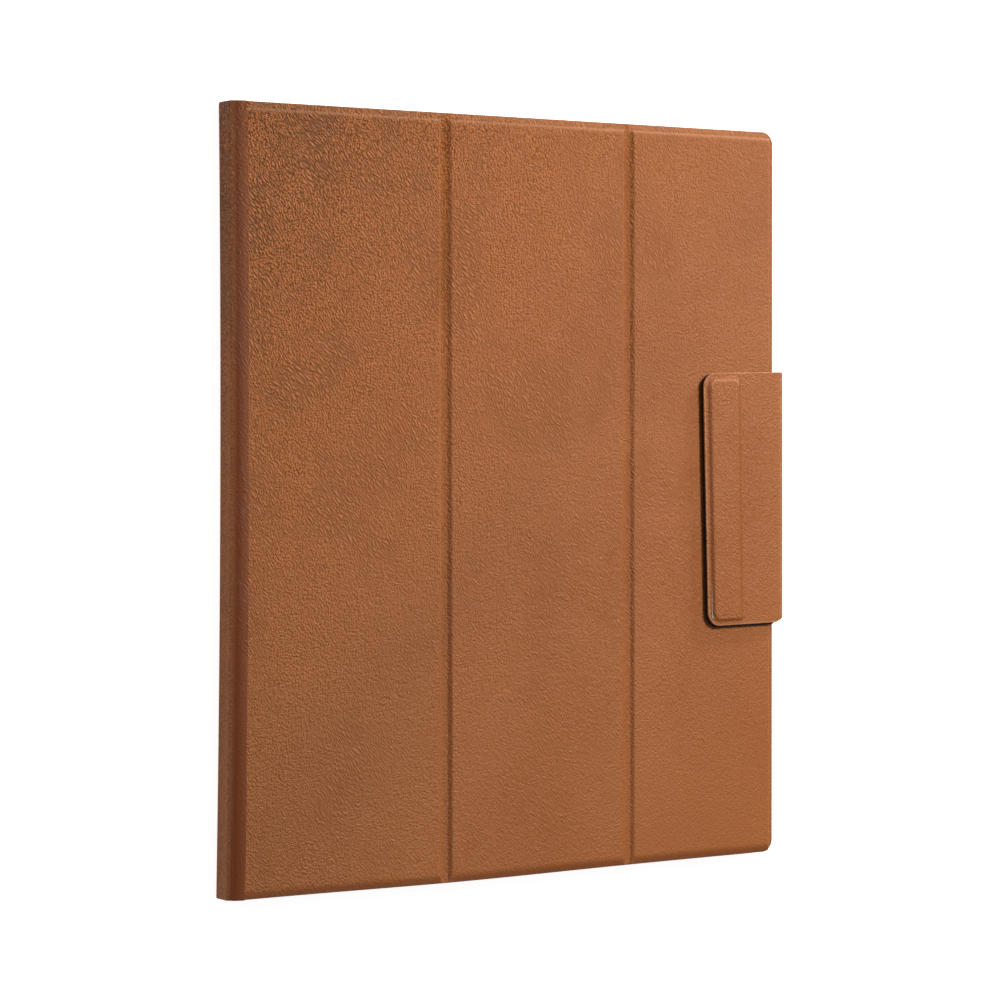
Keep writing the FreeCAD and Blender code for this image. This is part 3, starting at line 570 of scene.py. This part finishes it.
def strap(name, path, inward, thickness, y_span, finish, rolled=0.3 * mm, warp=None, painted_light=None):
    """A closed strip along y. path is its outer face as rows of x and z, inward is 1 where the inner face
    lies to the left of the path's direction and -1 to the right, and thickness is a value or a function
    of y. Near an end both faces close in by the radius less the radius times a cosine."""
    turn = np.linspace(0, pi / 2, roll_steps)[1:]
    even = crowded(y_span[0] + rolled, y_span[1] - rolled, 3 * mm, 9, mesh_pitch)
    y = np.concatenate([(y_span[0] + rolled - rolled * np.sin(turn))[::-1], even,
                        y_span[1] - rolled + rolled * np.sin(turn)])
    drawn_back = rolled * (1 - np.cos(turn))
    closing = np.concatenate([drawn_back[::-1], np.zeros(len(even)), drawn_back])
    path = np.asarray(path, float)
    along = np.gradient(path, axis=0)
    along /= np.linalg.norm(along, axis=1, keepdims=True)
    normal = inward * np.stack([-along[:, 1], along[:, 0]], axis=1)
    depth = thickness(y) if callable(thickness) else np.full(len(y), thickness)
    outer = path[None] + normal[None] * closing[:, None, None]
    inner = path[None] + normal[None] * (depth - closing)[:, None, None]
    section = np.concatenate([outer, inner[:, ::-1]], axis=1)
    rows, around = section.shape[:2]
    y_grid = np.broadcast_to(y[:, None], (rows, around))
    points = np.stack([section[..., 0], y_grid, section[..., 1]], axis=-1).reshape(-1, 3)
    index = np.arange(rows * around).reshape(rows, around)
    closed = np.concatenate([index, index[:, :1]], axis=1)
    faces = grid_faces(closed).tolist()
    half = around // 2
    for cap in (index[0], index[-1]):
        ladder = np.stack([cap[:half], cap[:half - 1:-1]])
        faces += grid_faces(ladder).tolist()
    painted_light_map = None
    # Painted light along the curve, the same on its outer and its inner face.
    if painted_light is not None:
        painted_light_map = np.tile(np.concatenate([painted_light, painted_light[::-1]]), rows)
    return mesh_piece(name, points if warp is None else warp(points), faces, finish, painted_light_map)


def arc(centre, radius, start, end, steps=14):
    """Points on a circle in x and z, from one angle to another."""
    angle = np.linspace(radians(start), radians(end), steps)
    return np.stack([centre[0] + radius * np.cos(angle), centre[1] + radius * np.sin(angle)], axis=1)


def bowed(three, share):
    """A curve that leaves the first of three points towards the second and arrives at the third from
    it: the squares and the product of a share weigh the points."""
    share = np.asarray(share)[..., None]
    first, corner, last = (np.array(point) for point in three)
    return (1 - share) ** 2 * first + 2 * share * (1 - share) * corner + share ** 2 * last


def straight(first, last, steps=8):
    """Even points from first to last."""
    return np.linspace(first, last, steps)


def finished(piece, slot, *nodes, body=None, blend=None):
    """Hides the CAD nodes a finished piece replaces and hangs the piece on its body, or, when it blends
    between two, bakes its placement in and leaves it unhung. slot is not used.
    """
    if nodes:
        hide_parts(*nodes)
    if blend:
        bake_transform(piece)
    else:
        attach(piece, body)


# %% [markdown]
# ## A folio that has been used
# A handled folio isn't a perfect box. Its spine creeps outwards towards the tail and is pinched in above
# the middle. That is one quadratic in y, and it fades out across the first centimetre of the front panel.
# The whole front cover shares the same movement, so panels, folds and spine stay joined.

# %% The cover's creep
creep_fade = 11 * mm                    # how far past the spine the front panel still creeps
edge_spread = 0.5 * mm                  # how far the front's free edge has spread
tail_hang = 0.55 * mm                   # how far the tail hangs round the first fold


def crept(points):
    """Moves the outer leather near the spine along x by 0.10 + 0.85 v - 0.90 v squared, in millimetres,
    where v is y over half the cover's height, and leaves what lies against the reader alone. The front's
    free edge spreads by an eased step in x, and the tail hangs by a bell curve in x and v cubed in y."""
    x, y, z = points.T
    v = y / cover_y[1]
    outer = np.maximum(1 - eased((x - spine_x[0] - 0.2 * mm) / (2 * mm)),
                       eased((z - lining_z[0]) / (0.6 * mm)))
    near = outer * (1 - eased((x - spine_x[1]) / creep_fade))
    lean = (0.10 + 0.85 * v - 0.90 * v ** 2) * mm
    moved = points.copy()
    moved[:, 0] += lean * near + edge_spread * eased((x - 45 * mm) / (45 * mm))
    moved[:, 1] -= tail_hang * np.exp(-((x + 22 * mm) / (48 * mm)) ** 2) * np.clip(-v, 0, 1) ** 3
    return moved


# %% [markdown]
# ## Front cover
# Three boards lie under one sheet of leather. Over each board's edge the leather rises in a soft slope,
# flat at its foot and again at its top. The sheet is cut here into three panels and two fold strips,
# because the folds bend. The inner surface follows the board, and at the free edges the leather is
# turned in round the lining.

# %% Panels
board_gap = leather / 2                 # foot of the leather's slope to the foot of the board's
board_run = 1.15 * mm                   # width of the board's slope, and of the leather's over it
slope_run = 1.5 * mm
tail_run = 3.3 * mm                     # the same at the tail, where the leather is drawn down slowly
flange_roll = 0.42 * mm
cover_corner = 4.0 * mm
set_down = 0.06 * mm                    # keeps the ripples under the CAD model's top
feet_y = (span("panel_1_board", "y")[0] - board_gap, span("panel_1_board", "y")[1] + board_gap)


def ripple(x, y):
    """Slow unevenness of pulled leather: three crossed waves of a few hundredths of a millimetre."""
    return (0.030 * np.sin(x / (9.1 * mm) + y / (23 * mm))
            + 0.026 * np.sin(y / (12.7 * mm) - x / (31 * mm))
            + 0.020 * np.sin((x + y) / (7.3 * mm) + 1.7)) * mm


shoulder = ((spine_x[0], spine_z[1]), (spine_x[0] + 0.5 * mm, spine_z[1] + 1.85 * mm),
            (spine_x[0] + 4.65 * mm, front_z - set_down))


def shoulder_share(x):
    """Where along the shoulder's curve a given x lies: the root of the curve's quadratic in the share."""
    first, corner, last = (point[0] for point in shoulder)
    bend, rate = first - 2 * corner + last, 2 * (corner - first)
    return (np.sqrt(np.maximum(rate ** 2 - 4 * bend * (first - x), 0)) - rate) / (2 * bend)


def shoulder_painted_shade(share):
    """How much painted shade the shoulder gets: least at the spine's face, most at its middle."""
    return -np.interp(share, [0.0, 0.12, 0.32, 0.55, 0.8, 1.0], [0.05, 0.18, 0.62, 1.0, 0.85, 0.75])


def front_panel(number, feet, edges, corners, butts):
    """One raised panel: feet are where its slopes start and edges where its leather ends, along x."""
    slope_corners = tuple(radius / 2 for radius in corners)
    board_x, board_y = span("panel_%d_board" % number, "x"), span("panel_%d_board" % number, "y")
    board_rise = front_z - leather - lining_z[1]

    def rise(x, y):
        """Share of the board's height: an eased slope on three sides, a long convex one at the tail."""
        inside = inset(x, y, feet, (feet_y[0] - open_side, feet_y[1]), slope_corners)
        tail = 1 - (1 - np.clip((y - cover_y[0]) / tail_run, 0, 1)) ** 2
        return np.minimum(eased(inside / slope_run), tail)

    def top(x, y):
        """The flange, plus the rise and its ripples; on panel 1 the shoulder's curve by the spine."""
        raised = rise(x, y)
        face = flange_z + (front_z - flange_z - set_down) * raised + ripple(x, y) * raised
        if number > 1:
            return face
        along_spine = bowed(shoulder, np.clip(shoulder_share(x), 0, 1))[..., 1]
        return np.where(x < shoulder[2][0], along_spine, face)

    def under(x, y):
        """The board's own slope, and down to the lining's inner face where the leather is turned in."""
        ends = (edges[0] - open_side * butts[0], edges[1] + open_side * butts[1])
        turned_in = inset(x, y, ends, cover_y, corners) < turn_in
        over_board = np.clip(inset(x, y, board_x, board_y, slope_corners) / board_run, 0, 1) * board_rise
        return np.where(turned_in, lining_z[0], lining_z[1] + over_board)

    def painted_light_map(x, y):
        """Painted highlight on the head's flange and the top of its slope, painted shade at the tail, in
        the slopes by the folds and on panel 1's shoulder.
        """
        head = cover_y[1] - y
        flange = 0.45 * (1 - eased((head - 1.2 * mm) / (0.5 * mm)))
        slope_top = 1.1 * np.exp(-((head - 2.25 * mm) / (0.42 * mm)) ** 2)
        tail = -0.38 * (1 - eased((y - cover_y[0] - 1.2 * mm) / (2.2 * mm)))
        left = x - feet[0]
        if number == 1:
            side_shade = shoulder_painted_shade(shoulder_share(x)) * (x < shoulder[2][0])
        else:
            darkest = {2: -0.22, 3: -0.06}[number]
            side_shade = darkest * np.exp(-((left - 0.6 * slope_run) / (0.55 * slope_run)) ** 2)
        return np.where(side_shade < -0.05, side_shade, flange + slope_top + tail)

    piece = plate("front_panel_%d" % number, edges, cover_y, top, under, tan_leather, flange_roll,
                  corners, butts, painted_light_map, crept)
    finished(piece, "tan_leather", "panel_%d_leather" % number, body="panel_%d" % number)


panel_x = [span("panel_%d_leather" % number, "x") for number in (1, 2, 3)]
last_foot = span("panel_3_board", "x")[1] + board_gap
front_panel(1, panel_x[0], panel_x[0], (0, 0), (1, 1))
front_panel(2, panel_x[1], panel_x[1], (0, 0), (1, 1))
front_panel(3, (panel_x[2][0], last_foot), panel_x[2], (0, cover_corner), (1, 0))

# %% [markdown]
# ## Fold strips
# Between two boards only leather and lining are left, and there the cover folds. The leather dips a
# little, as it does after a few hundred openings.

# %% Fold strips
fold_dip = 0.10 * mm
lining_roll = 0.1 * mm
cloth_y = (cover_y[0] + turn_in, cover_y[1] - turn_in)


def board_side(x, y):
    """The flat face between leather and lining."""
    return lining_z[1] + 0 * x


def reader_side(x, y):
    """The flat face of the lining that lies on the reader."""
    return lining_z[0] + 0 * x


for number in (1, 2):
    strip_x = span("fold_strip_%d" % number, "x")
    middle, half = sum(strip_x) / 2, (strip_x[1] - strip_x[0]) / 2

    def channel(x, y):
        """A dip of one less the square of the distance from the middle, squared."""
        return flange_z - fold_dip * (1 - ((x - middle) / half) ** 2) ** 2

    bodies = ("panel_%d" % number, "panel_%d" % (number + 1),
              (strip_x[0], 0, flange_z), (strip_x[1], 0, flange_z))
    skin = plate("fold_%d_leather" % number, strip_x, cover_y, channel, board_side, tan_leather,
                 0.3 * mm, butts=(1, 1), reach=half * 0.9, lines=9, warp=crept)
    finished(skin, "tan_leather", "fold_strip_%d" % number, blend=bodies)
    cloth = plate("fold_%d_lining" % number, strip_x, cloth_y, board_side, reader_side, brown_nap,
                  lining_roll, butts=(1, 1), reach=half * 0.9, lines=9, warp=crept)
    finished(cloth, "microfibre", blend=bodies)

# %% [markdown]
# ## Back cover
# The back is one flat board in the same leather, rolled round its three free edges and turned in over
# the lining. Where the closing flap leaves it the edge isn't rolled, because there the leather runs on.

# %% Back cover
back_x = span("back_leather", "x")


def back_under(x, y):
    """The outer face: flat where it lies on the table, rolled up at the free edge above and below the
    flap, by 0.6 of a quarter circle."""
    radius = 1.0 * mm
    beside_flap = eased((np.abs(y - sum(flap_y) / 2) - (flap_y[1] - flap_y[0]) / 2) / (3 * mm))
    left = np.maximum(radius - (back_x[1] - x), 0)
    rise = radius - np.sqrt(np.maximum(radius ** 2 - left ** 2, 0))
    return rise * beside_flap * 0.6


def back_inner(x, y):
    """The leather's own thickness, and up to the lining's top where it is turned in."""
    turned_in = inset(x, y, (back_x[0] - open_side, back_x[1]), cover_y, (0, cover_corner)) < turn_in
    return np.where(turned_in, back_lining_z[1], leather)


back_piece = plate("back_panel", back_x, cover_y, back_inner, back_under, tan_leather, 0.36 * mm,
                   (0, cover_corner), (1, 0))
finished(back_piece, "tan_leather", "back_leather", body="back_cover")

# %% [markdown]
# ## Spine
# The spine's leather goes round a narrow board. At the back it turns in one wide curve into the back
# cover, at the front in a tighter one that dies away into the foot of panel 1. Both corners are folds.
# Narrow straps of lining close them on the inside.

# %% Spine and its folds
back_corner = (back_x[0], spine_z[0])
corner_radius = back_x[0] - spine_x[0]


def spine_depth(y):
    """Leather alone over the board, and the whole thickness where it is turned in at head and tail."""
    return np.where(np.abs(y) > cover_y[1] - turn_in, spine_x[1] - spine_x[0], leather)


spine_face = strap("spine_face", straight((spine_x[0], spine_z[0]), (spine_x[0], spine_z[1])), -1,
                   spine_depth, cover_y, tan_leather, warp=crept)
finished(spine_face, "tan_leather", "spine_leather", body="spine")
back_fold = strap("spine_back_corner", arc(back_corner, corner_radius, 270, 180), -1, leather, cover_y,
                  tan_leather, warp=crept)
finished(back_fold, "tan_leather", "spine_back_fold",
         blend=("back_cover", "spine", (back_x[0], 0, 0), (spine_x[0], 0, spine_z[0])))
fold_share = np.linspace(0, shoulder_share(panel_x[0][0]), 14)
# The shoulder's painted shade goes on over this fold.
front_fold = strap("spine_front_corner", bowed(shoulder, fold_share), -1, leather, cover_y, tan_leather,
                   warp=crept, painted_light=shoulder_painted_shade(fold_share))
finished(front_fold, "tan_leather", "spine_front_fold",
         blend=("spine", "panel_1", (spine_x[0], 0, spine_z[1]), (panel_x[0][0], 0, flange_z)))

even_share = np.linspace(0, 1, 14)
cloth_x = span("spine_lining", "x")[0]
back_turn = ((back_x[0], back_lining_z[0]), (cloth_x, back_lining_z[0]), (cloth_x, spine_z[0]))
inner_back = strap("spine_back_lining", bowed(back_turn, even_share), -1, lining_thickness, cloth_y,
                   brown_nap, rolled=lining_roll)
finished(inner_back, "microfibre",
         blend=("back_cover", "spine", (back_x[0], 0, back_lining_z[0]), (cloth_x, 0, spine_z[0])))
front_turn = ((cloth_x, spine_z[1]), (cloth_x, lining_z[1]), (panel_x[0][0], lining_z[1]))
inner_front = strap("spine_front_lining", bowed(front_turn, even_share), -1, lining_thickness, cloth_y,
                    brown_nap, rolled=lining_roll)
finished(inner_front, "microfibre",
         blend=("spine", "panel_1", (cloth_x, 0, spine_z[1]), (panel_x[0][0], 0, lining_z[1])))

# %% [markdown]
# ## Closing flap
# The flap leaves the back cover, goes up past the reader's edge and turns over the front. Its tongue
# holds a raised pad with three magnets. Leather covers only the outside; the underside and the cut edge
# are black microfibre, so a black line runs round the tongue, and at the tail that black lining reaches
# past the leather as a painted shadow. Handling has turned the tongue a little and drawn in the lower
# corner of the bend, and that is done to the finished points.

# %% The flap's own shape
flap_middle = sum(flap_y) / 2
flap_half = (flap_y[1] - flap_y[0]) / 2
turned_by = 0.0255                      # tangent of the tongue's turn
pushed_in = 0.31 * mm                   # how far the tongue's tip has moved towards the bend
drawn_in = 1.55 * mm                    # how far the lower corner of the bend is drawn in
bulge = 0.75 * mm                       # how far the bend stands out
bend_radius = gusset_x[1] - tongue_x[1]
hinge_x, hinge_z = span("flap_hinge_strip", "x"), span("flap_hinge_strip", "z")


def handled(points):
    """Turns the tongue: x moves by the turn times y and by a push, less and less towards the bend, and y
    by the turn times x. The bend stands out by a bulge, and its lower edge is drawn in evenly."""
    moved = points.copy()
    x, y, z = points.T
    across = np.clip((gusset_x[1] - x) / (gusset_x[1] - tongue_x[0]), 0, 1)
    up_the_bend = eased((z - gusset_z[0]) / (gusset_z[1] - gusset_z[0]))
    moved[:, 0] += (pushed_in - turned_by * (y - flap_middle)) * across * up_the_bend
    moved[:, 0] += bulge * up_the_bend * eased((x - tongue_x[1] + 6 * mm) / (bend_radius + 3 * mm))
    moved[:, 1] += 0.65 * turned_by * (x - tongue_x[0] - 10 * mm) * up_the_bend
    below = np.clip((flap_middle - y) / flap_half, 0, 1) ** 2
    down_the_bend = np.clip((x - tongue_x[1]) / bend_radius, 0, 1)
    moved[:, 1] += drawn_in * below * down_the_bend * eased((z - hinge_z[0]) / (4 * mm))
    return moved


# %% Tongue
flange_top = span("flap_bend_strip", "z")[1]
core_z = span("tongue_board", "z")
tongue_core_top = flange_top - leather
tongue_corner = 4.6 * mm
pad_border, pad_width, pad_run = 1.1 * mm, 12.9 * mm, 1.35 * mm
pad_x = (tongue_x[0] + pad_border, tongue_x[0] + pad_border + pad_width)
pad_y = (flap_y[0] + pad_border, flap_y[1] - pad_border)
pad_corners = (tongue_corner - pad_border, 1.2 * mm)
rim_roll = 0.34 * mm
edge_set_back = 0.18 * mm               # how far the black lining's edge stands back from the leather's
hair_gap = 0.01 * mm                    # keeps two faces from lying in one plane


def tongue_top(x, y):
    """The pad: an eased rise over the slope's run, slightly crowned so that its edge stays soft."""
    inside = inset(x, y, pad_x, pad_y, pad_corners)
    crown = 0.10 * mm * eased(inside / (5 * mm))
    return flange_top + (tongue_z[1] - flange_top - 0.1 * mm) * eased(inside / pad_run) + crown


def tongue_inner(x, y):
    """The underside of the leather, a step higher over the magnets' bed."""
    bed = inset(x, y, pad_x, pad_y, pad_corners) - pad_run
    return tongue_core_top + (core_z[1] - tongue_core_top) * np.clip(bed / (0.4 * mm) + 1, 0, 1)


def tongue_painted_light(x, y):
    """Painted highlight round the rim and at the pad's head, painted shade in the pad's long side slopes.
    """
    rim = inset(x, y, (tongue_x[0], tongue_x[1] + open_side), flap_y, (tongue_corner, 0))
    pad_edge = inset(x, y, pad_x, pad_y, pad_corners) - pad_run
    bright = np.maximum((1.5 - 0.6 * (y > pad_y[1])) * np.exp(-(rim / (0.38 * mm)) ** 2),
                        0.8 * np.exp(-(pad_edge / (0.4 * mm)) ** 2) * (pad_y[1] - y < 3 * mm))
    left = -0.55 * np.exp(-((x - pad_x[0] - 0.5 * pad_run) / (0.6 * pad_run)) ** 2)
    right = -0.45 * np.exp(-((x - pad_x[1] + 0.4 * pad_run) / (0.5 * pad_run)) ** 2)
    dark = (left + right) * eased(inset(x, y, pad_x, pad_y, pad_corners) / (0.5 * mm) + 1)
    return np.where(bright > 0.15, bright, dark)


tongue = plate("tongue_leather_top", tongue_x, flap_y, tongue_top, tongue_inner, tan_leather, rim_roll,
               (tongue_corner, 0), (0, 1), tongue_painted_light, handled, pitch=0.35 * mm)
finished(tongue, "tan_leather", "tongue_leather", body="tongue")

under_x = (tongue_x[0] + edge_set_back, tongue_x[1])
# At the tail the black lining reaches 0.45 mm past the leather: a painted shadow under the tongue's edge.
under_y = (flap_y[0] - 0.45 * mm, flap_y[1] - edge_set_back)
under_lining_top = span("tongue_lining", "z")[1]


def under_rim(x, y):
    """The lining turned up round the tongue's board, up to the leather."""
    depth = inset(x, y, (under_x[0], under_x[1] + open_side), under_y, (tongue_corner, 0))
    return np.where(depth < turn_in - edge_set_back, tongue_core_top - hair_gap, under_lining_top)


underside = plate("tongue_underside", under_x, under_y, under_rim, lambda x, y: tongue_z[0] + 0 * x,
                  black_nap, 0.15 * mm, (tongue_corner, 0), (0, 1), warp=handled)
finished(underside, "microfibre", "tongue_lining", body="tongue")

# %% Bend, gusset and hinge strip
bend_centre = (gusset_x[1] - bend_radius, flange_top - bend_radius)
bend_bodies = ("gusset", "tongue", (gusset_x[1], 0, gusset_z[1]), (tongue_x[1], 0, flange_top))
bend_steps = 20
# Painted shade on the outward face of the bend, fading out between 20 and 60 degrees round it.
painted_shade = -np.interp(np.linspace(0, 90, bend_steps), [20, 60], [0.5, 0.0])
bend_top = strap("flap_bend_leather", arc(bend_centre, bend_radius, 0, 90, bend_steps), 1, leather,
                 flap_y, tan_leather, rolled=rim_roll, warp=handled, painted_light=painted_shade)
finished(bend_top, "tan_leather", "flap_bend_strip", blend=bend_bodies)
inner_y = (flap_y[0] + edge_set_back, flap_y[1] - edge_set_back)
inner_radius = bend_radius - leather - hair_gap
bend_under = strap("flap_bend_lining", arc(bend_centre, inner_radius, 0, 90, bend_steps), 1,
                   lining_thickness, inner_y, black_nap, rolled=lining_roll, warp=handled)
finished(bend_under, "microfibre", blend=bend_bodies)
gusset = strap("gusset_leather_face",
               straight((gusset_x[1], gusset_z[0]), (gusset_x[1], gusset_z[1])), 1,
               leather, flap_y, tan_leather, rolled=rim_roll, warp=handled)
finished(gusset, "tan_leather", "gusset_leather", body="gusset")
gusset_cloth_x = gusset_x[0] - hair_gap
gusset_cloth = strap("gusset_lining_face",
                     straight((gusset_cloth_x, gusset_z[0]), (gusset_cloth_x, gusset_z[1])), 1,
                     lining_thickness, inner_y, black_nap, rolled=lining_roll, warp=handled)
finished(gusset_cloth, "microfibre", "gusset_lining", body="gusset")

hinge_radius = 1.6 * mm
hinge_path = np.concatenate([
    straight((hinge_x[0], 0), (hinge_x[1] - hinge_radius, 0), 8)[:-1],
    arc((hinge_x[1] - hinge_radius, hinge_radius), hinge_radius, -90, 0, 12)[:-1],
    straight((hinge_x[1], hinge_radius), (hinge_x[1], hinge_z[1]), 5)])
hinge = strap("flap_hinge_leather", hinge_path, 1, leather, flap_y, tan_leather, rolled=rim_roll,
              warp=handled)
finished(hinge, "tan_leather", "flap_hinge_strip",
         blend=("back_cover", "gusset", (hinge_x[1] - hinge_radius - 1.0 * mm, 0, 0),
                (hinge_x[1], 0, hinge_z[1])))

# %% [markdown]
# ## The reader's hard parts
# A machined or moulded edge is never perfectly sharp, and the thin highlight on it is most of what makes
# it look real. The CAD shapes are right but sharp, so each outer part is a copy of its node: doubles
# merged, flat triangles joined, and every sharp edge rounded by a bevel of a few tenths.

# %% Softened copies
def outer_rim(work):
    """The edges round the lowest face of a mesh."""
    lowest = min(v.co.z for v in work.verts) + 0.01 * mm
    return [e for e in work.edges if all(v.co.z < lowest for v in e.verts) and e.calc_face_angle(0) > 1]


def softened(name, node, width, finish, slot, body, outer_width=0.0):
    """A copy of a CAD node with its sharp edges rounded; outer_width rounds the rim of its back face."""
    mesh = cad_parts[node].data.copy()
    mesh.name = name
    work = bmesh.new()
    work.from_mesh(mesh)
    bmesh.ops.remove_doubles(work, verts=work.verts, dist=0.002 * mm)
    bmesh.ops.dissolve_limit(work, angle_limit=radians(1), verts=work.verts, edges=work.edges)
    if outer_width:
        bmesh.ops.bevel(work, geom=outer_rim(work), offset=outer_width, segments=6, profile=0.5,
                        affect="EDGES")
    sharp = [e for e in work.edges if e.calc_face_angle(0) > radians(50)]
    bmesh.ops.bevel(work, geom=sharp, offset=width, segments=3, profile=0.5, affect="EDGES",
                    clamp_overlap=True)
    work.to_mesh(mesh)
    work.free()
    mesh.shade_smooth()
    mesh.set_sharp_from_angle(angle=smooth_angle)
    mesh.materials.clear()
    mesh.materials.append(finish)
    made = bpy.data.objects.new(name, mesh)
    bpy.context.scene.collection.objects.link(made)
    print("%s: %d faces" % (name, len(mesh.polygons)))
    finished(made, slot, node, body=body)


softened("reader_housing", "rear_housing", 0.12 * mm, aluminium, "graphite_aluminium", "reader",
         outer_width=0.7 * mm)
softened("reader_glass", "front_glass", 0.12 * mm, glass, "front_glass", "reader")
softened("power_key", "power_button", 0.12 * mm, aluminium, "graphite_aluminium", "power_button")
softened("card_tray_drawer", "card_tray", 0.1 * mm, aluminium, "graphite_aluminium", "card_tray")
softened("usb_socket_tube", "usb_socket", 0.05 * mm, nickel, "plated_steel", "reader")

# %% [markdown]
# ## Finishes for the CAD parts that stay
# Everything else keeps its CAD shape and only gets its finish: linings, boards, magnets, and what lies
# inside the reader.

# %% Give the kept parts their finishes
kept = {
    brown_nap: ["back_lining", "spine_lining", "panel_1_lining", "panel_2_lining", "panel_3_lining"],
    fibre_board: ["back_board", "spine_board", "panel_1_board", "panel_2_board", "panel_3_board",
                  "tongue_board"],
    nickel: ["back_magnets", "wake_magnet", "closure_steel", "tongue_magnets", "device_magnets",
             "frame_screws", "board_shield", "card_socket"],
    magnesium: ["mid_frame"],
    black_plastic: ["display_frame", "speakers", "microphone", "button_switch"],
    white_plastic: ["front_light_leds"],
    light_plastic: ["light_guide"],
    paper: ["paper_panel"],
    solder_mask: ["main_board", "pen_digitizer"],
    chip_black: ["board_chips", "hall_sensor"],
    pouch_foil: ["battery"],
    polyimide: ["display_flex", "wireless_antenna"],
}
for finish, nodes in kept.items():
    for node in nodes:
        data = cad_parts[node].data
        data.materials.clear()
        data.materials.append(finish)
print("finishes given to", sum(len(nodes) for nodes in kept.values()), "kept parts")
